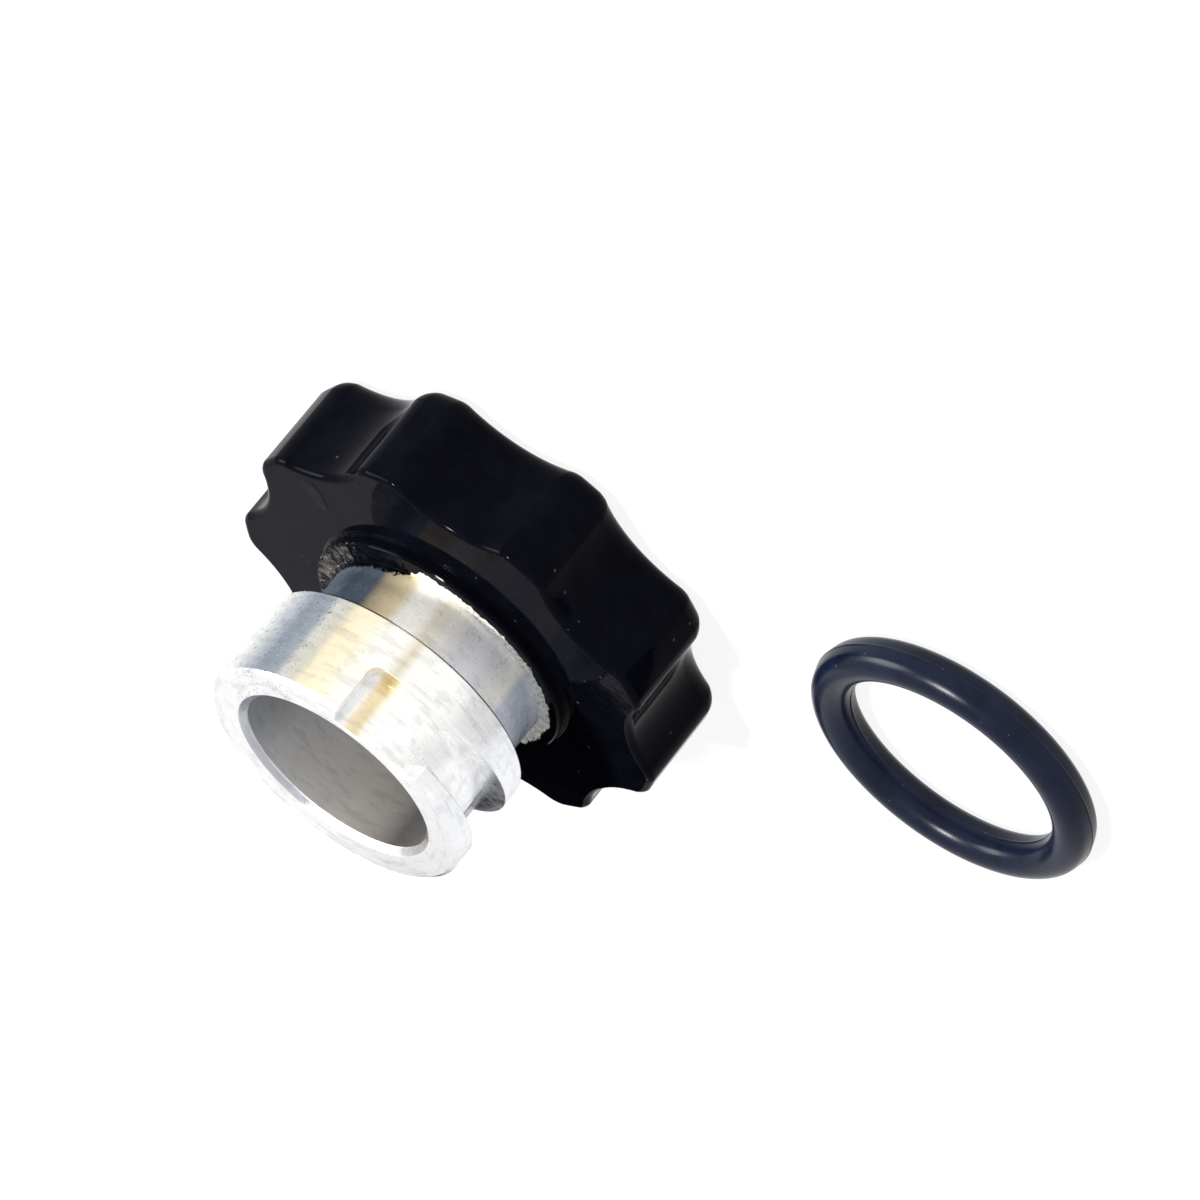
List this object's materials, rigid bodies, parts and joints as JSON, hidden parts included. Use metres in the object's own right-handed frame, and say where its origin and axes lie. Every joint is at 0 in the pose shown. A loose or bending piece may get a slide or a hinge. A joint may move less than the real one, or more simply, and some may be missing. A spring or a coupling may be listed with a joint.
{
  "type": "oil filler cap",
  "caption": "Bayonet oil filler cap turned from one aluminium piece, with a fluted black grip, a hollow spigot with a cam track, and a loose seal ring.",
  "frame": {"origin": "centre of the grip's flat face, on the spigot's axis; the cap stands on this face, and the loose seal ring lies beside it on the same plane", "axes": "+Z along the spigot's axis, from the grip to the spigot's open end; +X through the middle of the entry slot"},
  "size_m": [0.1007, 0.1108, 0.0421],
  "materials": {
    "coated_aluminium": "gloss black coat on the grip, bare turned aluminium on the spigot",
    "seal_rubber": "satin"
  },
  "bodies": {
    "root": {"cap_body": "coated_aluminium", "seal_ring": "seal_rubber"}
  },
  "joints": []
}
